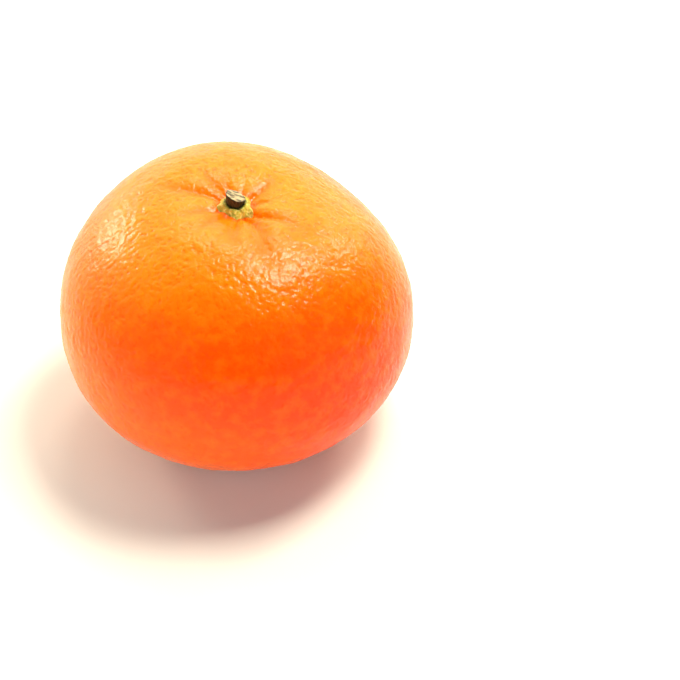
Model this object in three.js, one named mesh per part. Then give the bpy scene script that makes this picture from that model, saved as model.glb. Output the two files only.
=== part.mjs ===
// A loose-skinned mandarin orange, picked with its calyx and a short cut of stem still on.
// Millimetres, +Z up along the core. The fruit stands on the flat ring round its blossom end,
// at z = 0, and its bounding box is centred on the Z axis.
//
// The peel is a radial surface: each direction from the middle of the fruit has one radius,
// which is a flattened ball, less a stem dimple with puckered furrows, less a blossom-end dent.

import * as THREE from "three";
import { mergeVertices } from "three/addons/utils/BufferGeometryUtils.js";

// Driving dimensions of the fruit
const EQUATOR_RADIUS = 32.5;
const POLE_RADIUS = 25.6;
const SQUARENESS = 2.25; // exponent of the meridian's superellipse: 2 would be an ellipse
const FOOT_SAG = 0.5; // how far its own weight has flattened the blossom end

// Uneven growth: where the ball is fuller or flatter, as a share of its radius
const SWELLS = [
  { azimuth: 35, elevation: 38, rise: -0.08, spread: 0.7 },
  { azimuth: 200, elevation: -25, rise: 0.03, spread: 0.8 },
  { azimuth: 100, elevation: 50, rise: 0.06, spread: 0.7 },
];

// Stem dimple, and the furrows that pucker the peel round it
const DIMPLE_DEPTH = 2.6;
const DIMPLE_RADIUS = 7.5;
const FURROWS = [
  { azimuth: 10, depth: 0.6, length: 8 },
  { azimuth: 44, depth: 1.0, length: 9.5 },
  { azimuth: 78, depth: 0.5, length: 7 },
  { azimuth: 110, depth: 0.7, length: 8 },
  { azimuth: 127, depth: 0.8, length: 10 },
  { azimuth: 160, depth: 0.9, length: 14 },
  { azimuth: 205, depth: 0.9, length: 10 },
  { azimuth: 232, depth: 0.7, length: 11 },
  { azimuth: 250, depth: 0.5, length: 9 },
  { azimuth: 271, depth: 1.0, length: 12 },
  { azimuth: 297, depth: 1.2, length: 16 },
  { azimuth: 330, depth: 1.1, length: 13.5 },
];
const FURROW_MOUTH = { from: 1, to: 4.2 }; // distances from the core over which a furrow deepens
const FURROW_FADE = { from: 0.35, to: 1.2 }; // shares of its length over which it fades
const FURROW_WIDTH = 0.6; // half-width at the core
const FURROW_FLARE = 0.15; // and how fast it widens outwards

// Blossom end
const DENT_DEPTH = 1.5;
const DENT_RADIUS = 3.0;

// Calyx: a fleshy star whose lobes differ in reach
const SEPALS = [
  { azimuth: 46, reach: 3.7 },
  { azimuth: 104, reach: 4.3 },
  { azimuth: 148, reach: 3.7 },
  { azimuth: 196, reach: 3.9 },
  { azimuth: 270, reach: 3.5 },
  { azimuth: 326, reach: 4.1 },
];
const SEPAL_NOTCH = 2.9; // radius between two lobes
const SEPAL_WIDTH = 0.27; // angle over which a lobe falls away, in radians
const CALYX_THICKNESS = 0.7; // at its middle
const CALYX_THINNING = 0.5; // share of it lost at the edge

// Stem: a stub that widens to a slanted cut
const STEM_FOOT_RADIUS = 1.45;
const STEM_CUT_RADIUS = 1.75;
const STEM_HEIGHT = 1.15; // at the middle of the cut
const CUT_SLOPE = THREE.MathUtils.degToRad(24);
const CUT_FALLS_TO = THREE.MathUtils.degToRad(12); // azimuth of the cut's low side
const GAP = 0.3; // between one piece and the next

// Mesh fineness
const MERIDIANS = 76;
const RINGS = 44;
const POLE_CROWDING = 0.2; // draws the rings together towards both poles
const CALYX_SIDES = 72;
const STEM_SIDES = 24;
const HEIGHT_PASSES = 8; // enough for the height of the crown to settle

const peelMaterial = new THREE.MeshStandardMaterial({ color: 0xf4791a, roughness: 0.42 });
const calyxMaterial = new THREE.MeshStandardMaterial({ color: 0xa9a545, roughness: 0.7 });
const stemMaterial = new THREE.MeshStandardMaterial({ color: 0x6b5a34, roughness: 0.85 });

// A unit vector at this azimuth and elevation, in degrees.
function direction(azimuth, elevation) {
  const a = THREE.MathUtils.degToRad(azimuth);
  const e = THREE.MathUtils.degToRad(elevation);
  return new THREE.Vector3(Math.cos(e) * Math.cos(a), Math.cos(e) * Math.sin(a), Math.sin(e));
}

const bell = (x) => Math.exp(-x * x);

// The flattened ball's radius in this direction.
function ballRadius(d) {
  const across = Math.hypot(d.x, d.y) / EQUATOR_RADIUS;
  const along = Math.abs(d.z) / POLE_RADIUS;
  const round = (across ** SQUARENESS + along ** SQUARENESS) ** (-1 / SQUARENESS);
  const share = SWELLS.reduce((sum, swell) => {
    const angle = d.angleTo(direction(swell.azimuth, swell.elevation));
    return sum + swell.rise * bell(angle / swell.spread);
  }, 1);
  return round * share;
}

// How deep the furrows are at this distance from the core and this azimuth.
function furrowDepth(distance, azimuth) {
  const { smoothstep } = THREE.MathUtils;
  const opening = smoothstep(distance, FURROW_MOUTH.from, FURROW_MOUTH.to);
  const width = FURROW_WIDTH + FURROW_FLARE * distance;
  return FURROWS.reduce((sum, furrow) => {
    const turn = azimuth - THREE.MathUtils.degToRad(furrow.azimuth);
    const ahead = Math.cos(turn) > 0 ? 1 : 0;
    const share = distance / furrow.length;
    const fading = 1 - smoothstep(share, FURROW_FADE.from, FURROW_FADE.to);
    const across = bell((distance * Math.sin(turn)) / width);
    return sum + ahead * furrow.depth * opening * fading * across;
  }, 0);
}

// The peel's radius in this direction.
function peelRadius(d) {
  const distance = Math.hypot(d.x, d.y) * POLE_RADIUS;
  const azimuth = Math.atan2(d.y, d.x);
  const dents =
    d.z > 0
      ? DIMPLE_DEPTH * bell(distance / DIMPLE_RADIUS) + furrowDepth(distance, azimuth)
      : DENT_DEPTH * bell(distance / DENT_RADIUS);
  return ballRadius(d) - dents;
}

// The height of the peel above the fruit's middle, over a point near the stem end.
function crownHeight(x, y) {
  const d = new THREE.Vector3(0, 0, 1);
  let height = POLE_RADIUS;
  for (let i = 0; i < HEIGHT_PASSES; i++) {
    d.set(x, y, height).normalize();
    height = peelRadius(d) * d.z;
  }
  return height;
}

// The whole fruit as one solid, with its middle at the origin.
function fruitGeometry() {
  const geometry = new THREE.SphereGeometry(1, MERIDIANS, RINGS).rotateX(Math.PI / 2);
  const position = geometry.getAttribute("position");
  const floor = -(POLE_RADIUS - FOOT_SAG);
  const d = new THREE.Vector3();
  for (let i = 0; i < position.count; i++) {
    d.fromBufferAttribute(position, i);
    const polar = Math.acos(THREE.MathUtils.clamp(d.z, -1, 1));
    const crowded = polar - POLE_CROWDING * Math.sin(2 * polar);
    const azimuth = THREE.MathUtils.radToDeg(Math.atan2(d.y, d.x));
    d.copy(direction(azimuth, 90 - THREE.MathUtils.radToDeg(crowded)));
    d.multiplyScalar(peelRadius(d));
    position.setXYZ(i, d.x, d.y, Math.max(d.z, floor));
  }
  return weld(geometry);
}

// One closed skin: the sphere's seam and pole points become single points.
function weld(geometry) {
  const bare = geometry.clone();
  bare.deleteAttribute("normal");
  bare.deleteAttribute("uv");
  const merged = mergeVertices(bare, 1e-4);
  merged.computeVertexNormals();
  return merged;
}

// The calyx's radius at this azimuth: the notch radius, with a rounded point at each sepal.
function calyxRadius(azimuth) {
  return SEPALS.reduce((radius, sepal) => {
    const turn = azimuth - THREE.MathUtils.degToRad(sepal.azimuth);
    const angle = Math.abs(Math.atan2(Math.sin(turn), Math.cos(turn)));
    return Math.max(radius, SEPAL_NOTCH + (sepal.reach - SEPAL_NOTCH) * bell(angle / SEPAL_WIDTH));
  }, SEPAL_NOTCH);
}

// The star of sepals: it lies along the peel, and thins towards its points.
function calyxGeometry() {
  const profile = [
    [0, 0],
    [0.5, 0],
    [1, 0],
    [1, 1],
    [0.5, 1],
    [0, 1],
  ].map(([reach, height]) => new THREE.Vector2(reach, height));
  const geometry = new THREE.LatheGeometry(profile, CALYX_SIDES).rotateX(Math.PI / 2);
  const position = geometry.getAttribute("position");
  for (let i = 0; i < position.count; i++) {
    const radius = calyxRadius(Math.atan2(position.getY(i), position.getX(i)));
    const x = position.getX(i) * radius;
    const y = position.getY(i) * radius;
    const thickness = CALYX_THICKNESS * (1 - CALYX_THINNING * ((x * x + y * y) / radius ** 2));
    position.setXYZ(i, x, y, crownHeight(x, y) + GAP + position.getZ(i) * thickness);
  }
  return weld(geometry);
}

// The stub of stem: round, widening upwards, and cut on the slant.
function stemGeometry() {
  const profile = [
    [0, 0],
    [STEM_FOOT_RADIUS, 0],
    [(STEM_FOOT_RADIUS + STEM_CUT_RADIUS) / 2, STEM_HEIGHT * 0.4],
    [STEM_CUT_RADIUS, STEM_HEIGHT * 0.8],
    [STEM_CUT_RADIUS, STEM_HEIGHT],
    [0, STEM_HEIGHT],
  ].map(([radius, height]) => new THREE.Vector2(radius, height));
  const geometry = new THREE.LatheGeometry(profile, STEM_SIDES).rotateX(Math.PI / 2);
  const position = geometry.getAttribute("position");
  for (let i = 0; i < position.count; i++) {
    const share = position.getZ(i) / STEM_HEIGHT;
    const downhill =
      position.getX(i) * Math.cos(CUT_FALLS_TO) + position.getY(i) * Math.sin(CUT_FALLS_TO);
    position.setZ(i, position.getZ(i) - share * Math.tan(CUT_SLOPE) * downhill);
  }
  return weld(geometry);
}

function piece(name, geometry, material) {
  const mesh = new THREE.Mesh(geometry, material);
  mesh.name = name;
  return mesh;
}

const fruit = piece("fruit", fruitGeometry(), peelMaterial);
const calyx = piece("calyx", calyxGeometry(), calyxMaterial);
const stem = piece("stem_stub", stemGeometry(), stemMaterial);
stem.position.z = crownHeight(0, 0) + GAP + CALYX_THICKNESS + GAP;

// The middle of the fruit goes where its box stands centred on the origin.
const orange = new THREE.Group();
orange.add(fruit, calyx, stem);
const box = new THREE.Box3().setFromObject(fruit);
const middle = box.getCenter(new THREE.Vector3());
orange.position.set(-middle.x, -middle.y, -box.min.z);

const root = new THREE.Group();
root.add(orange);

export default root;
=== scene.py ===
"""A mandarin orange: its looks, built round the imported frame. Metres, +Z up along the core.

The rind, the calyx and the stub of stem are each grown here as one closed mesh, over the plain
solids of the same shape. Shapes are worked out in millimetres, from the middle of the fruit.
"""

import math

import bmesh
import bpy
import numpy as np
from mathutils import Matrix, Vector


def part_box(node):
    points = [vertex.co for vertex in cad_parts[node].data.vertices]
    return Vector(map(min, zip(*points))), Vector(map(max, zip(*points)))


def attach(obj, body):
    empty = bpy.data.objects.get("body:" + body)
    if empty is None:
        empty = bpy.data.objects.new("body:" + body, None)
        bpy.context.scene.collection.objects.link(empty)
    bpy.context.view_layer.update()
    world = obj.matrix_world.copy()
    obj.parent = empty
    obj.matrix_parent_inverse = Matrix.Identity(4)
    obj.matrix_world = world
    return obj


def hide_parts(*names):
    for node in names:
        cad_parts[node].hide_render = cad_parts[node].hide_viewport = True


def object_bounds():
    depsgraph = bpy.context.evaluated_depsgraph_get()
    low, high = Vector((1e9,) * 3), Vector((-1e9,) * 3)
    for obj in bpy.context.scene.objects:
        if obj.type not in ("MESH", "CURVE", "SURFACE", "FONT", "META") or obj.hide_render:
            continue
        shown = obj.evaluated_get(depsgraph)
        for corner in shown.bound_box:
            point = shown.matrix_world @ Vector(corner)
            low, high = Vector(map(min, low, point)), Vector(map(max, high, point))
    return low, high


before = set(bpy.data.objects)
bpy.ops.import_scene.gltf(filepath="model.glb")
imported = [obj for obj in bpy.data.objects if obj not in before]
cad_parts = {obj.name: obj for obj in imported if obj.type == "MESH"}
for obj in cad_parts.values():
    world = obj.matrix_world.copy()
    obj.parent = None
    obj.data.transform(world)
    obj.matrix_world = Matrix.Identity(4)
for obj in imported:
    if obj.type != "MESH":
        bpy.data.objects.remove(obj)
cad_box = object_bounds()

MM = 0.001

# The fruit's ball: a flattened superellipse with uneven growth
EQUATOR_RADIUS = 32.5
POLE_RADIUS = 25.6
SQUARENESS = 2.25
FOOT_SAG = 0.5
FOOT_ROUNDING = 0.12  # how softly the sides turn into the flat foot
SWELLS = (  # azimuth, elevation, rise as a share of the radius, spread in radians
    (35, 38, -0.08, 0.7),
    (200, -25, 0.03, 0.8),
    (100, 50, 0.06, 0.7),
)

# The stem dimple and the furrows that pucker it
DIMPLE_DEPTH = 2.6
DIMPLE_RADIUS = 7.5
FURROWS = (  # azimuth, depth, length, how far it wanders to its left
    (10, 0.6, 8, 0.1),
    (44, 1.0, 9.5, -0.3),
    (78, 0.5, 7, 0.2),
    (110, 0.7, 8, 0.2),
    (127, 0.8, 10, -0.3),
    (160, 0.9, 14, 0.5),
    (205, 0.9, 10, -0.2),
    (232, 0.7, 11, 0.3),
    (250, 0.5, 9, -0.2),
    (271, 1.0, 12, 0.3),
    (297, 1.2, 16, -0.5),
    (330, 1.1, 13.5, 0.5),
)
FURROW_MOUTH = (1, 4.2)  # distances from the core over which a furrow deepens
FURROW_FADE = (0.35, 1.2)  # shares of its length over which it fades
FURROW_WIDTH = 0.6
FURROW_FLARE = 0.15
CREASE_SHARE = 0.4  # share of a furrow's depth that is its sharp crease
CREASE_WIDTH = 0.4  # and the crease's width, as a share of the furrow's

# The blossom end
DENT_DEPTH = 1.5
DENT_RADIUS = 3.0
SCAR_RADIUS = 1.3

# The skin
RIND_CELLS = 127  # quads along each side of each of the cube sphere's six faces
POLE_CROWDING = 0.12
PEBBLE_SIZE = 0.9
PEBBLE_HEIGHT = 0.1  # what the mesh holds of the pebbling
PEBBLE_BUMP = 0.08  # and what the material adds to it
PEBBLE_STRAY = 0.6  # how far the pattern is pulled about
GLAND_SPACING = 0.95
GLAND_SHARE = 0.4
LUMP_SIZE = 6
LUMP_HEIGHT = 0.22
DRAPE_SIZE = 2.4
DRAPE_HEIGHT = 0.05

RIND_TONES = (  # heights as shares of the fruit's, and the rind's colours there
    (0.0, "#F68020"),
    (0.2, "#F46A09"),
    (0.42, "#F45A02"),
    (0.7, "#F24600"),
    (0.87, "#F24600"),
    (1.0, "#F46404"),
)
SIDE_LIGHT_AND_SHADE = (  # azimuth, elevation, spread in radians, strength and tint of each tinted side: the deeper red-orange on the front right is partly the fruit's own colour and partly painted shade, and the paler orange on the left and on the right shoulder is painted light
    ("red_shaded_side", -55, 2, 0.65, 0.9, "#EE3C00"),
    ("pale_lit_side", 185, -5, 0.75, 0.7, "#FA9420"),
    ("pale_lit_shoulder", 8, 28, 0.5, 0.3, "#FA8C14"),
)
CROWN_RADIUS = 13  # of the yellower crown
CALYX_SHADE_RADII = (3.2, 4.9)  # where the painted shade round the calyx starts to fade, and ends
CALYX_SHADE_STRENGTH = 0.75
STRAY_SIZE = 2.2
MOTTLE_SIZE = 8
BLOTCH_SIZE = 2.5
WAX_PATCH_SIZE = 3
WAX_ROUGHNESS = (0.17, 0.26)
PORE_SIZE = 0.4
RIPENESS_DRIFT = 9  # how far the bands of colour stray up and down

# The calyx
SEPALS = (  # azimuth, reach
    (46, 3.4),
    (104, 4.0),
    (148, 3.4),
    (196, 3.6),
    (270, 3.1),
    (326, 3.8),
)
SEPAL_NOTCH = 2.6
SEPAL_WIDTH = 0.32
CALYX_HEIGHT = 1.0
CALYX_ROOT = 0.4  # how deep it is set in the fruit
RIDGE_HEIGHT = 0.4  # of the ridge down each sepal, at this share of its reach
RIDGE_PLACE = 0.75
RIDGE_SPREAD = 0.25
SWELL_HEIGHT = 0.6  # of the ring that holds the stem
SWELL_RADIUS = 2.1
SWELL_WIDTH = 0.5
DRIED_RADII = (2.4, 3.9)  # where the brown of the points starts, and is full
STEM_SHADE_RADII = (1.5, 2.3)  # where the painted shade against the stem starts to fade, and ends
CALYX_RINGS = 36
CALYX_SIDES = 216

# The stub of stem
STEM_FOOT_RADIUS = 1.45
STEM_CUT_RADIUS = 1.75
STEM_HEIGHT = 1.15
CUT_SLOPE = math.radians(24)
CUT_FALLS_TO = math.radians(12)
BARK_THICKNESS = 0.12
STEM_ROOT = 0.6  # how deep the stub is set in the calyx
BARK_ROOT = 0.35  # and how deep its bark still has its full shape
BARK_RIBS = ((5, 0.05, 0.6), (11, 0.03, 2))  # how many round the stub, height, turn in radians
RING_PLACE = 0.56  # of the groove in the cut, as a share of the wood's radius
RING_DEPTH = 0.07
PITH_RADIUS = 0.22  # as a share of the wood's radius
PITH_DEPTH = 0.16
CUT_SWELL = 0.06
STEM_SIDES = 144

# The view: straight on to the -Y side, from above, with the fruit high and to the left
VIEW_ELEVATION = math.radians(42)
VIEW_DISTANCE = 0.3515
VIEW_LENS = 100
VIEW_RIGHT = 18.51  # how far right of the fruit's middle the lens points
VIEW_DOWN = 6.46

# The studio
WHITE_SIDE = (105, 5)  # azimuth and elevation of the room's white side
DIM_WALLS = 0.03
WHITE_WALLS = 2.4
FLOOR_RADIUS = 0.42  # metres
FLOOR_SIDES = 96
WARM_WHITE = "#FFF3DC"
WHITE = "#FFFFFF"
LIGHTS = (  # name, azimuth, elevation, distance, size, watts, colour, seen in the wax
    ("key softbox", 24, 68, 0.5, 0.175, 4.1, WARM_WHITE, True),
    ("back softbox", 90, 58, 0.5, 0.13, 0.8, WARM_WHITE, True),
    ("right softbox", 42, 34, 0.5, 0.12, 1.0, WARM_WHITE, True),
    ("side window", 140, 20, 0.5, 0.13, 1.1, WARM_WHITE, True),
    ("left bounce card", -140, 12, 0.6, 0.6, 2.8, WHITE, False),
    ("right bounce card", -42, 12, 0.6, 0.6, 2.8, WHITE, False),
)

stem_low, stem_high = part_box("stem_stub")
core = (stem_low + stem_high) / 2
MIDDLE = Vector((core.x, core.y, (POLE_RADIUS - FOOT_SAG) * MM))


# ---------------------------------------------------------------- shapes


def unit(azimuth, elevation):
    """A unit vector at this azimuth and elevation, in degrees."""
    a, e = math.radians(azimuth), math.radians(elevation)
    return np.array((math.cos(e) * math.cos(a), math.cos(e) * math.sin(a), math.sin(e)))


def bell(x):
    return np.exp(-x * x)


def smoothstep(x, low, high):
    t = np.clip((x - low) / (high - low), 0, 1)
    return t * t * (3 - 2 * t)


def ball_radius(d):
    """The flattened ball's radius in each of these directions."""
    across = np.hypot(d[:, 0], d[:, 1]) / EQUATOR_RADIUS
    along = np.abs(d[:, 2]) / POLE_RADIUS
    ball = (across**SQUARENESS + along**SQUARENESS) ** (-1 / SQUARENESS)
    share = np.ones(len(d))
    for azimuth, elevation, rise, spread in SWELLS:
        angle = np.arccos(np.clip(d @ unit(azimuth, elevation), -1, 1))
        share += rise * bell(angle / spread)
    return ball * share


def furrow_depth(distance, azimuth):
    """How deep the furrows are at this distance from the core and this azimuth."""
    depth_here = np.zeros(len(distance))
    width = FURROW_WIDTH + FURROW_FLARE * distance
    opening = smoothstep(distance, *FURROW_MOUTH)
    for heading, depth, length, wander in FURROWS:
        turn = azimuth - math.radians(heading)
        sideways = distance * np.sin(turn) - wander * np.sin(distance * 0.45 + heading)
        fading = 1 - smoothstep(distance / length, *FURROW_FADE)
        valley = bell(sideways / width)
        crease = bell(sideways / (width * CREASE_WIDTH))
        profile = (1 - CREASE_SHARE) * valley + CREASE_SHARE * crease
        depth_here += (np.cos(turn) > 0) * depth * opening * fading * profile
    return depth_here


def peel_radius(d):
    """The peel's radius in each of these directions."""
    distance = np.hypot(d[:, 0], d[:, 1]) * POLE_RADIUS
    azimuth = np.arctan2(d[:, 1], d[:, 0])
    dimple = DIMPLE_DEPTH * bell(distance / DIMPLE_RADIUS) + furrow_depth(distance, azimuth)
    dent = DENT_DEPTH * bell(distance / DENT_RADIUS)
    return ball_radius(d) - np.where(d[:, 2] > 0, dimple, dent)


def crown_height(x, y):
    """The height of the peel above the fruit's middle, over points near the stem end."""
    height = np.full(len(x), POLE_RADIUS)
    for _ in range(8):
        d = np.stack((x, y, height), axis=1)
        d /= np.linalg.norm(d, axis=1)[:, None]
        height = peel_radius(d) * d[:, 2]
    return height


def calyx_radius(azimuth):
    """The notch radius, with a rounded point at each sepal."""
    radius = np.full(len(azimuth), SEPAL_NOTCH)
    for heading, reach in SEPALS:
        turn = azimuth - math.radians(heading)
        angle = np.arctan2(np.sin(turn), np.cos(turn))
        radius = np.maximum(radius, SEPAL_NOTCH + (reach - SEPAL_NOTCH) * bell(angle / SEPAL_WIDTH))
    return radius


# ---------------------------------------------------------------- meshes


def place(points):
    """Millimetres from the fruit's middle, as metres in the frame."""
    return points * MM + np.array(MIDDLE)


def add_piece(name, mesh, node):
    """Adds a mesh as a piece of the fruit, standing for this node."""
    mesh.shade_smooth()
    piece = bpy.data.objects.new(name, mesh)
    bpy.context.scene.collection.objects.link(piece)
    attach(piece, "root")
    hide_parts(node)
    return piece


def cube_sphere(cells):
    """A mesh of even quads, with its vertices at unit directions crowded towards both poles."""
    grid = bmesh.new()
    bmesh.ops.create_cube(grid, size=2)
    bmesh.ops.subdivide_edges(grid, edges=grid.edges, cuts=cells - 1, use_grid_fill=True)
    mesh = bpy.data.meshes.new("rind")
    grid.to_mesh(mesh)
    grid.free()
    points = read_points(mesh)
    d = np.tan(points * math.pi / 4)
    d /= np.linalg.norm(d, axis=1)[:, None]
    polar = np.arccos(np.clip(d[:, 2], -1, 1))
    crowded = polar - POLE_CROWDING * np.sin(2 * polar)
    azimuth = np.arctan2(d[:, 1], d[:, 0])
    across = np.sin(crowded)
    return mesh, np.stack((across * np.cos(azimuth), across * np.sin(azimuth), np.cos(crowded)), axis=1)


def read_points(mesh):
    points = np.empty(len(mesh.vertices) * 3)
    mesh.vertices.foreach_get("co", points)
    return points.reshape(-1, 3)


def write_points(mesh, points):
    mesh.vertices.foreach_set("co", points.ravel())
    mesh.update()


def write_share(mesh, name, share):
    """Stores a number for each vertex, which a material reads by its name."""
    layer = mesh.attributes.new(name, "FLOAT", "POINT")
    layer.data.foreach_set("value", share)


def flatten_foot(points):
    """Turns the underside softly into the flat that the fruit stands on."""
    over = points[:, 2] + POLE_RADIUS - FOOT_SAG
    points[:, 2] += (np.sqrt(over * over + FOOT_ROUNDING**2) - over) / 2


def make_rind():
    """The whole fruit: peel with its dimple, furrows, foot, oil glands and blossom scar."""
    mesh, d = cube_sphere(RIND_CELLS)
    points = d * peel_radius(d)[:, None]
    flatten_foot(points)
    distance = np.hypot(d[:, 0], d[:, 1]) * POLE_RADIUS
    furrows = furrow_depth(distance, np.arctan2(d[:, 1], d[:, 0])) * (d[:, 2] > 0)
    write_points(mesh, place(points))
    write_share(mesh, "furrow", np.clip(furrows, 0, 1))
    write_share(mesh, "crown", (d[:, 2] > 0) * bell(distance / CROWN_RADIUS))
    # painted shade: a dark ring on the rind round the calyx
    calyx_shade = (1 - smoothstep(distance, *CALYX_SHADE_RADII)) * CALYX_SHADE_STRENGTH
    write_share(mesh, "calyx_shade", (d[:, 2] > 0) * calyx_shade)
    # painted light and painted shade on the fruit's sides, stored for the material
    for name, azimuth, elevation, spread, strength, _ in SIDE_LIGHT_AND_SHADE:
        angle = np.arccos(np.clip(d @ unit(azimuth, elevation), -1, 1))
        write_share(mesh, name, strength * bell(angle / spread))
    write_share(mesh, "scar", (d[:, 2] < 0) * bell(distance / SCAR_RADIUS))
    rind = add_piece("rind", mesh, "fruit")
    sink_glands(rind)
    rind.data.materials.append(mandarin_rind())


def sink_glands(rind):
    """Gives the mesh its lumps and its pebbling, where the rind's material draws them."""
    tree = bpy.data.node_groups.new("skin relief", "GeometryNodeTree")
    tree.interface.new_socket("Geometry", in_out="INPUT", socket_type="NodeSocketGeometry")
    tree.interface.new_socket("Geometry", in_out="OUTPUT", socket_type="NodeSocketGeometry")
    source = add(tree, "NodeGroupInput")
    position = add(tree, "GeometryNodeInputPosition")
    normal = add(tree, "GeometryNodeInputNormal")
    lumps = add(
        tree,
        "ShaderNodeTexNoise",
        {"Vector": position, "Scale": per_metre(LUMP_SIZE), "Detail": 1},
    )
    drape = add(
        tree,
        "ShaderNodeTexNoise",
        {"Vector": position, "Scale": per_metre(DRAPE_SIZE), "Detail": 1},
    )
    pebbles = pebbling(tree, position)
    height = add(
        tree,
        "ShaderNodeMath",
        {0: lumps, 1: 2 * LUMP_HEIGHT * MM, 2: -LUMP_HEIGHT * MM},
        operation="MULTIPLY_ADD",
    )
    height = add(
        tree,
        "ShaderNodeMath",
        {0: drape, 1: 2 * DRAPE_HEIGHT * MM, 2: height},
        operation="MULTIPLY_ADD",
    )
    height = add(
        tree,
        "ShaderNodeMath",
        {0: pebbles, 1: PEBBLE_HEIGHT * MM, 2: height},
        operation="MULTIPLY_ADD",
    )
    offset = add(tree, "ShaderNodeVectorMath", {0: normal, "Scale": height}, operation="SCALE")
    moved = add(tree, "GeometryNodeSetPosition", {"Geometry": source, "Offset": offset})
    add(tree, "NodeGroupOutput", {0: moved})
    rind.modifiers.new("skin relief", "NODES").node_group = tree
    shown = rind.evaluated_get(bpy.context.evaluated_depsgraph_get())
    relieved = bpy.data.meshes.new_from_object(shown)
    rind.modifiers.clear()
    rind.data = relieved
    points = read_points(relieved)
    points[:, 2] = np.maximum(points[:, 2], cad_box[0].z)
    write_points(relieved, points)


def rings_to_mesh(name, rings):
    """A closed skin through rings of equally many points, from one pole point to the other."""
    made = bmesh.new()
    rows = [[made.verts.new(point) for point in place(ring)] for ring in rings[1:-1]]
    first, last = (made.verts.new(place(ring)[0]) for ring in (rings[0], rings[-1]))
    sides = len(rows[0])
    for i in range(sides):
        j = (i + 1) % sides
        made.faces.new((first, rows[0][j], rows[0][i]))
        for low, high in zip(rows, rows[1:]):
            made.faces.new((low[i], low[j], high[j], high[i]))
        made.faces.new((rows[-1][i], rows[-1][j], last))
    mesh = bpy.data.meshes.new(name)
    made.to_mesh(mesh)
    made.free()
    return mesh


def make_calyx():
    """The fleshy star: a swollen ring round the stem, and sepals with a ridge down each."""
    azimuth = np.arange(CALYX_SIDES) * 2 * math.pi / CALYX_SIDES
    edge = calyx_radius(azimuth)
    point = (edge - SEPAL_NOTCH) / (max(reach for _, reach in SEPALS) - SEPAL_NOTCH)

    def ring(share, lift):
        x = np.cos(azimuth) * edge * share
        y = np.sin(azimuth) * edge * share
        return np.stack((x, y, crown_height(x, y) + lift), axis=1)

    rings = [ring(0, -CALYX_ROOT)]
    rings += [ring(share, -CALYX_ROOT) for share in np.linspace(0.25, 0.97, 6)]
    rings += [ring(1, -0.15)]
    for share in 1 - np.linspace(0, 1, CALYX_RINGS) ** 1.5:
        dome = CALYX_HEIGHT * (1 - share**3) ** 0.6
        ridge = RIDGE_HEIGHT * point * bell((share - RIDGE_PLACE) / RIDGE_SPREAD)
        swell = SWELL_HEIGHT * bell((share * edge - SWELL_RADIUS) / SWELL_WIDTH)
        rings.append(ring(share, dome * (0.72 + ridge) + swell * (1 - share**6)))
    mesh = rings_to_mesh("star_calyx", rings)
    from_core = np.hypot(*(read_points(mesh) - np.array(MIDDLE))[:, :2].T) / MM
    write_share(mesh, "rim", smoothstep(from_core, *DRIED_RADII) * 0.6)
    # painted shade: the calyx darkens against the stem
    write_share(mesh, "stem_shade", 1 - smoothstep(from_core, *STEM_SHADE_RADII))
    calyx = add_piece("star_calyx", mesh, "calyx")
    calyx.data.materials.append(green_calyx())


def make_stem():
    """The stub: ridged bark, widening to a slanted cut with a rim, a ring and a sunk pith."""
    azimuth = np.arange(STEM_SIDES) * 2 * math.pi / STEM_SIDES
    foot = (stem_low.z - MIDDLE.z) / MM
    ribs = sum(height * np.cos(count * azimuth + turn) for count, height, turn in BARK_RIBS)

    def ring(radius, height, rib=1.0):
        reach = radius + ribs * rib
        x, y = np.cos(azimuth) * reach, np.sin(azimuth) * reach
        downhill = x * math.cos(CUT_FALLS_TO) + y * math.sin(CUT_FALLS_TO)
        slant = max(height, 0) / STEM_HEIGHT * math.tan(CUT_SLOPE)
        return np.stack((x, y, foot + height - slant * downhill), axis=1)

    bark = [ring(0, -STEM_ROOT, 0), ring(STEM_FOOT_RADIUS * 0.6, -STEM_ROOT)]
    bark.append(ring(STEM_FOOT_RADIUS, -STEM_ROOT + 0.05))
    for share in np.linspace(0, 0.95, 14):
        radius = STEM_FOOT_RADIUS + (STEM_CUT_RADIUS - STEM_FOOT_RADIUS) * share**0.7
        bark.append(ring(radius, -BARK_ROOT + (STEM_HEIGHT + BARK_ROOT) * share))
    lip = STEM_CUT_RADIUS - 0.05
    bark += [ring(lip, STEM_HEIGHT + 0.03), ring(lip - BARK_THICKNESS / 2, STEM_HEIGHT + 0.07)]
    bark.append(ring(STEM_CUT_RADIUS - BARK_THICKNESS, STEM_HEIGHT + 0.02))
    wood_radius = STEM_CUT_RADIUS - BARK_THICKNESS
    wood = []
    for share in np.linspace(0.96, 0, 24):
        groove = -RING_DEPTH * bell((share - RING_PLACE) / 0.07)
        pith = -PITH_DEPTH * bell(share / PITH_RADIUS)
        swell = CUT_SWELL * (1 - share**2)
        wood.append(ring(wood_radius * share, STEM_HEIGHT + groove + pith + swell, share))
    mesh = rings_to_mesh("cut_stem", bark + wood)
    add_piece("cut_stem", mesh, "stem_stub")
    mesh.materials.append(stem_bark())
    mesh.materials.append(cut_wood())
    faces_per_side = len(mesh.polygons) // STEM_SIDES
    bark_faces = len(bark) - 1
    for index, face in enumerate(mesh.polygons):
        face.material_index = 1 if index % faces_per_side >= bark_faces else 0


# ---------------------------------------------------------------- materials


def linear(code):
    """An sRGB hex code as a linear colour."""
    parts = [int(code[i : i + 2], 16) / 255 for i in (1, 3, 5)]
    lit = [p / 12.92 if p <= 0.04045 else ((p + 0.055) / 1.055) ** 2.4 for p in parts]
    return (*lit, 1)


def per_metre(size):
    """A texture's scale for a pattern of this size in millimetres."""
    return 1 / (size * MM)


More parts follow.
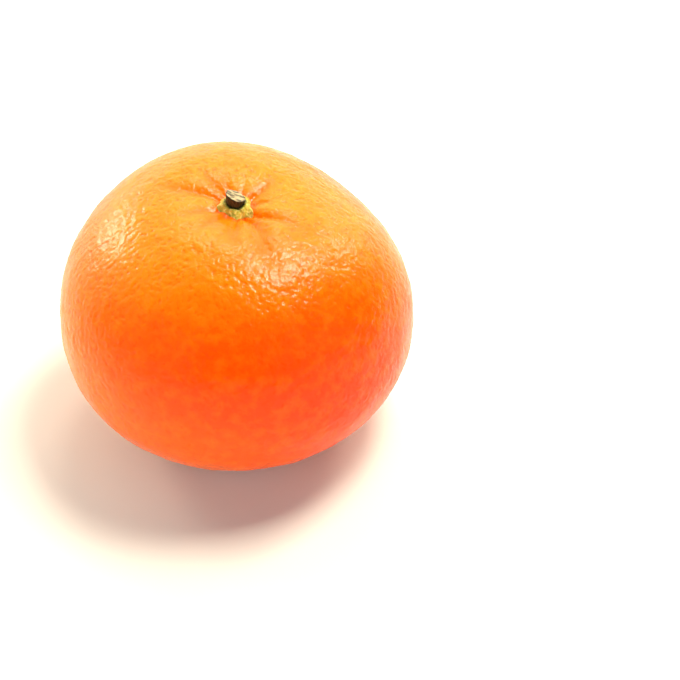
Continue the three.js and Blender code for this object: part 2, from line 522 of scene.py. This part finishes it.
def add(tree, kind, inputs=None, **settings):
    """Adds a node with these settings, and sets or links each input named. A node given as an
    input is linked by the first of its outputs that is in use."""
    made = tree.nodes.new(kind)
    for name, value in settings.items():
        setattr(made, name, value)
    for name, value in (inputs or {}).items():
        if isinstance(value, bpy.types.Node):
            value = next(output for output in value.outputs if output.enabled)
        if isinstance(value, bpy.types.NodeSocket):
            tree.links.new(value, made.inputs[name])
        else:
            made.inputs[name].default_value = value
    return made


def pebbling(tree, position):
    """The skin's pebbled relief, about 0 in the oil glands' pits and 1 on the pebbles."""
    stray = add(
        tree,
        "ShaderNodeTexNoise",
        {"Vector": position, "Scale": per_metre(STRAY_SIZE), "Detail": 1},
    )
    strayed = add(
        tree,
        "ShaderNodeVectorMath",
        {0: stray.outputs["Color"], 1: (PEBBLE_STRAY * MM,) * 3, 2: position},
        operation="MULTIPLY_ADD",
    )
    swells = add(
        tree,
        "ShaderNodeTexNoise",
        {"Vector": strayed, "Scale": per_metre(PEBBLE_SIZE), "Detail": 2, "Roughness": 0.45},
    )
    glands = add(
        tree,
        "ShaderNodeTexVoronoi",
        {"Vector": strayed, "Scale": per_metre(GLAND_SPACING), "Smoothness": 0.6},
        feature="SMOOTH_F1",
    )
    rounded = add(
        tree,
        "ShaderNodeMapRange",
        {0: swells, 1: 0.3, 2: 0.7},
        interpolation_type="SMOOTHSTEP",
    )
    pits = add(tree, "ShaderNodeMapRange", {0: glands, 1: 0.05, 2: 0.5}, interpolation_type="SMOOTHSTEP")
    return add(tree, "ShaderNodeMix", {0: GLAND_SHARE, 2: rounded, 3: pits})


def new_material(name):
    """A material with an empty Principled shader. Gives it, its tree and the shader."""
    made = bpy.data.materials.new(name)
    made.use_nodes = True
    return made, made.node_tree, made.node_tree.nodes["Principled BSDF"]


def mandarin_rind():
    """Citrus rind, grown and naturally waxed: translucent orange flesh of the peel under a thin
    wax. The eye gets a deep glow, small broken highlights on the pebbled skin, and a yellower
    crown."""
    material, tree, shader = new_material("mandarin rind")
    position = add(tree, "ShaderNodeTexCoord").outputs["Object"]
    pebbles = pebbling(tree, position)
    height = add(tree, "ShaderNodeSeparateXYZ", {0: position}).outputs["Z"]
    crown = add(tree, "ShaderNodeAttribute", attribute_name="crown").outputs["Fac"]
    furrow = add(tree, "ShaderNodeAttribute", attribute_name="furrow").outputs["Fac"]
    calyx_shade = add(tree, "ShaderNodeAttribute", attribute_name="calyx_shade").outputs["Fac"]
    scar = add(tree, "ShaderNodeAttribute", attribute_name="scar").outputs["Fac"]

    mottle = add(
        tree,
        "ShaderNodeTexNoise",
        {"Vector": position, "Scale": per_metre(MOTTLE_SIZE), "Detail": 3},
    )
    uneven = add(
        tree,
        "ShaderNodeMath",
        {0: mottle, 1: RIPENESS_DRIFT * MM, 2: height},
        operation="MULTIPLY_ADD",
    )
    ripeness = add(tree, "ShaderNodeMapRange", {0: uneven, 2: 2 * POLE_RADIUS * MM})
    tones = add(tree, "ShaderNodeValToRGB", {0: ripeness})
    paint_bands(tones.color_ramp, RIND_TONES)
    tone = add(tree, "ShaderNodeMix", {0: crown, 6: tones, 7: linear("#F6760A")}, data_type="RGBA")
    # painted shade on the front right, painted light on the left and on the right shoulder
    for name, *_, tint in SIDE_LIGHT_AND_SHADE:
        share = add(tree, "ShaderNodeAttribute", attribute_name=name).outputs["Fac"]
        tone = add(tree, "ShaderNodeMix", {0: share, 6: tone, 7: linear(tint)}, data_type="RGBA")
    blotches = add(
        tree,
        "ShaderNodeTexNoise",
        {"Vector": position, "Scale": per_metre(BLOTCH_SIZE), "Detail": 4},
    )
    blotched = add(tree, "ShaderNodeMapRange", {0: blotches, 1: 0.45, 2: 0.7, 4: 0.18})
    tone = add(tree, "ShaderNodeMix", {0: blotched, 6: tone, 7: linear("#FA8A10")}, data_type="RGBA")
    # darker red-orange in the oil glands' pits: partly their own colour, partly painted shade in the
    # hollows
    pits = add(tree, "ShaderNodeMapRange", {0: pebbles, 1: 0.6, 2: 0.1, 4: 0.42})
    tone = add(tree, "ShaderNodeMix", {0: pits, 6: tone, 7: linear("#DC4200")}, data_type="RGBA")
    # painted shade in the furrows: a darker, redder orange, partly the peel's own colour there
    deep = add(tree, "ShaderNodeMapRange", {0: furrow, 1: 0.03, 2: 0.4, 4: 0.85})
    tone = add(tree, "ShaderNodeMix", {0: deep, 6: tone, 7: linear("#EE5E00")}, data_type="RGBA")
    # painted shade round the calyx: the rind darkens to brown-orange there
    tone = add(tree, "ShaderNodeMix", {0: calyx_shade, 6: tone, 7: linear("#A84A06")}, data_type="RGBA")
    corky = add(tree, "ShaderNodeMapRange", {0: scar, 1: 0.3, 2: 0.8})
    tone = add(tree, "ShaderNodeMix", {0: corky, 6: tone, 7: linear("#6E3C14")}, data_type="RGBA")
    tree.links.new(tone.outputs[2], shader.inputs["Base Color"])

    waxing = add(tree, "ShaderNodeTexNoise", {"Vector": position, "Scale": per_metre(WAX_PATCH_SIZE)})
    smoothest, dullest = WAX_ROUGHNESS
    gloss = add(tree, "ShaderNodeMapRange", {0: waxing, 1: 0.3, 2: 0.7, 3: smoothest, 4: dullest})
    tree.links.new(gloss.outputs[0], shader.inputs["Roughness"])

    pores = add(tree, "ShaderNodeTexNoise", {"Vector": position, "Scale": per_metre(PORE_SIZE)})
    relief = add(tree, "ShaderNodeMath", {0: pores, 1: 0.25, 2: pebbles}, operation="MULTIPLY_ADD")
    bump = add(tree, "ShaderNodeBump", {"Height": relief, "Strength": 1.0, "Distance": PEBBLE_BUMP * MM})
    tree.links.new(bump.outputs[0], shader.inputs["Normal"])

    shader.inputs["IOR"].default_value = 1.45
    shader.inputs["Specular IOR Level"].default_value = 0.2
    shader.inputs["Subsurface Weight"].default_value = 0.35
    shader.inputs["Subsurface Radius"].default_value = (1.0, 0.35, 0.1)
    shader.inputs["Subsurface Scale"].default_value = 1.5 * MM
    return material


def paint_bands(color_ramp, tones):
    """Sets a colour ramp's stops from pairs of a place and a hex colour."""
    color_ramp.interpolation = "EASE"
    first, last = color_ramp.elements
    last.position = tones[-1][0]
    first.position = tones[0][0]
    first.color, last.color = linear(tones[0][1]), linear(tones[-1][1])
    for place_on_ramp, code in tones[1:-1]:
        color_ramp.elements.new(place_on_ramp).color = linear(code)


def green_calyx():
    """Calyx tissue, grown and half dried: fleshy yellow-green with browned points and edges,
    matt, with fine wrinkles."""
    material, tree, shader = new_material("half-dried calyx")
    position = add(tree, "ShaderNodeTexCoord").outputs["Object"]
    patches = add(tree, "ShaderNodeTexNoise", {"Vector": position, "Scale": per_metre(1.6)})
    specks = add(tree, "ShaderNodeTexNoise", {"Vector": position, "Scale": per_metre(0.5), "Detail": 3})
    greening = add(tree, "ShaderNodeMapRange", {0: patches, 1: 0.4, 2: 0.62})
    tone = add(
        tree,
        "ShaderNodeMix",
        {0: greening, 6: linear("#B4A236"), 7: linear("#868A2A")},
        data_type="RGBA",
    )
    # painted highlights: pale yellow flecks on the calyx
    glints_and_grain = add(tree, "ShaderNodeMapRange", {0: specks, 1: 0.5, 2: 0.72})
    tone = add(tree, "ShaderNodeMix", {0: glints_and_grain, 6: tone, 7: linear("#DACC6C")}, data_type="RGBA")
    rim = add(tree, "ShaderNodeAttribute", attribute_name="rim").outputs["Fac"]
    tone = add(tree, "ShaderNodeMix", {0: rim, 6: tone, 7: linear("#7A4A14")}, data_type="RGBA")
    # painted shade against the stem, a dark olive
    stem_shade = add(tree, "ShaderNodeAttribute", attribute_name="stem_shade").outputs["Fac"]
    tone = add(tree, "ShaderNodeMix", {0: stem_shade, 6: tone, 7: linear("#4A4410")}, data_type="RGBA")
    tree.links.new(tone.outputs[2], shader.inputs["Base Color"])
    bump = add(tree, "ShaderNodeBump", {"Height": specks, "Strength": 1.0, "Distance": 0.22 * MM})
    tree.links.new(bump.outputs[0], shader.inputs["Normal"])
    shader.inputs["Roughness"].default_value = 0.5
    shader.inputs["IOR"].default_value = 1.4
    shader.inputs["Subsurface Weight"].default_value = 0.1
    shader.inputs["Subsurface Scale"].default_value = 0.4 * MM
    return material


def stem_bark():
    """Young citrus bark, grown: dark olive-brown with lighter streaks along the stem, matt."""
    material, tree, shader = new_material("citrus bark")
    position = add(tree, "ShaderNodeTexCoord").outputs["Object"]
    stretched = add(tree, "ShaderNodeMapping", {"Vector": position, "Scale": (1, 1, 0.25)})
    streaks = add(
        tree,
        "ShaderNodeTexNoise",
        {"Vector": stretched, "Scale": per_metre(0.3), "Detail": 4},
    )
    paleness = add(tree, "ShaderNodeMapRange", {0: streaks, 1: 0.35, 2: 0.7})
    tone = add(
        tree,
        "ShaderNodeMix",
        {0: paleness, 6: linear("#161608"), 7: linear("#3C3C1C")},
        data_type="RGBA",
    )
    tree.links.new(tone.outputs[2], shader.inputs["Base Color"])
    bump = add(tree, "ShaderNodeBump", {"Height": streaks, "Strength": 1.0, "Distance": 0.12 * MM})
    tree.links.new(bump.outputs[0], shader.inputs["Normal"])
    shader.inputs["Roughness"].default_value = 0.7
    return material


def cut_wood():
    """Young citrus wood, cut across with snips: pale cream with brown rays, finely fibrous and
    drier round the pith."""
    material, tree, shader = new_material("cut citrus wood")
    position = add(tree, "ShaderNodeTexCoord").outputs["Object"]
    along_splits = add(
        tree,
        "ShaderNodeMapping",
        {"Vector": position, "Rotation": (0, 0, math.radians(35)), "Scale": (0.4, 1, 0.4)},
    )
    fibres = add(
        tree,
        "ShaderNodeTexNoise",
        {"Vector": along_splits, "Scale": per_metre(0.6), "Detail": 2},
    )
    glints_and_grain = add(tree, "ShaderNodeMapRange", {0: fibres, 1: 0.42, 2: 0.58})
    tone = add(
        tree,
        "ShaderNodeMix",
        {0: glints_and_grain, 6: linear("#453A1C"), 7: linear("#A39670")},
        data_type="RGBA",
    )
    tree.links.new(tone.outputs[2], shader.inputs["Base Color"])
    bump = add(tree, "ShaderNodeBump", {"Height": fibres, "Strength": 1.0, "Distance": 0.5 * MM})
    tree.links.new(bump.outputs[0], shader.inputs["Normal"])
    shader.inputs["Roughness"].default_value = 0.6
    shader.inputs["Subsurface Weight"].default_value = 0.1
    shader.inputs["Subsurface Scale"].default_value = 0.3 * MM
    return material


def white_paper():
    """Matt white backdrop paper: even and pale, so that the fruit's shadow shows softly."""
    material, _, shader = new_material("white backdrop paper")
    shader.inputs["Base Color"].default_value = linear("#D0CFCC")
    shader.inputs["Roughness"].default_value = 0.9
    return material


# ---------------------------------------------------------------- studio


def make_floor():
    """A round sheet of paper, ending inside the ring of lights."""
    around = np.arange(FLOOR_SIDES) * 2 * math.pi / FLOOR_SIDES
    rim = [(FLOOR_RADIUS * math.cos(a), FLOOR_RADIUS * math.sin(a), 0) for a in around]
    mesh = bpy.data.meshes.new("floor")
    mesh.from_pydata(rim, [], [range(FLOOR_SIDES)])
    mesh.materials.append(white_paper())
    floor = bpy.data.objects.new("floor", mesh)
    bpy.context.scene.collection.objects.link(floor)


def make_softbox(name, azimuth, elevation, distance, size, watts, colour, in_wax):
    """A square soft light at this direction from the fruit, turned to it."""
    light = bpy.data.lights.new(name, "AREA")
    light.shape = "SQUARE"
    light.size = size
    light.energy = watts
    light.color = linear(colour)[:3]
    lamp = bpy.data.objects.new(name, light)
    way = Vector(unit(azimuth, elevation))
    lamp.location = MIDDLE + way * distance
    lamp.rotation_euler = way.to_track_quat("Z", "Y").to_euler()
    lamp.visible_glossy = in_wax
    bpy.context.scene.collection.objects.link(lamp)


def make_surroundings():
    """A room that is white behind the fruit and dim in front of it, shown plain white."""
    world = bpy.data.worlds.new("white surroundings")
    bpy.context.scene.world = world
    world.use_nodes = True
    tree = world.node_tree
    way = add(tree, "ShaderNodeTexCoord").outputs["Generated"]
    towards = add(
        tree,
        "ShaderNodeVectorMath",
        {0: way, 1: unit(*WHITE_SIDE)},
        operation="DOT_PRODUCT",
    )
    walls = add(
        tree,
        "ShaderNodeMapRange",
        {0: towards.outputs["Value"], 1: 0.0, 2: 0.9, 3: DIM_WALLS, 4: WHITE_WALLS},
        interpolation_type="SMOOTHSTEP",
    )
    seen = add(tree, "ShaderNodeLightPath").outputs["Is Camera Ray"]
    shown = add(tree, "ShaderNodeMix", {0: seen, 2: walls, 3: 1.0})
    tree.links.new(shown.outputs[0], tree.nodes["Background"].inputs["Strength"])
    tint = add(tree, "ShaderNodeMix", {0: seen, 6: linear(WARM_WHITE), 7: linear(WHITE)}, data_type="RGBA")
    tree.links.new(tint.outputs[2], tree.nodes["Background"].inputs["Color"])


def make_camera():
    """The lens, aimed to the right of the fruit's middle and below it."""
    right = Vector((1, 0, 0))
    back = Vector((0, -math.cos(VIEW_ELEVATION), math.sin(VIEW_ELEVATION)))
    up = back.cross(right)
    lens = bpy.data.cameras.new("camera")
    lens.lens = VIEW_LENS
    camera = bpy.data.objects.new("camera", lens)
    aim = MIDDLE + (right * VIEW_RIGHT - up * VIEW_DOWN) * MM
    camera.location = aim + back * VIEW_DISTANCE
    camera.rotation_euler = back.to_track_quat("Z", "Y").to_euler()
    bpy.context.scene.collection.objects.link(camera)
    bpy.context.scene.camera = camera


make_rind()
make_calyx()
make_stem()
make_floor()
for light in LIGHTS:
    make_softbox(*light)
make_surroundings()
make_camera()
bpy.context.scene.view_settings.view_transform = "Standard"
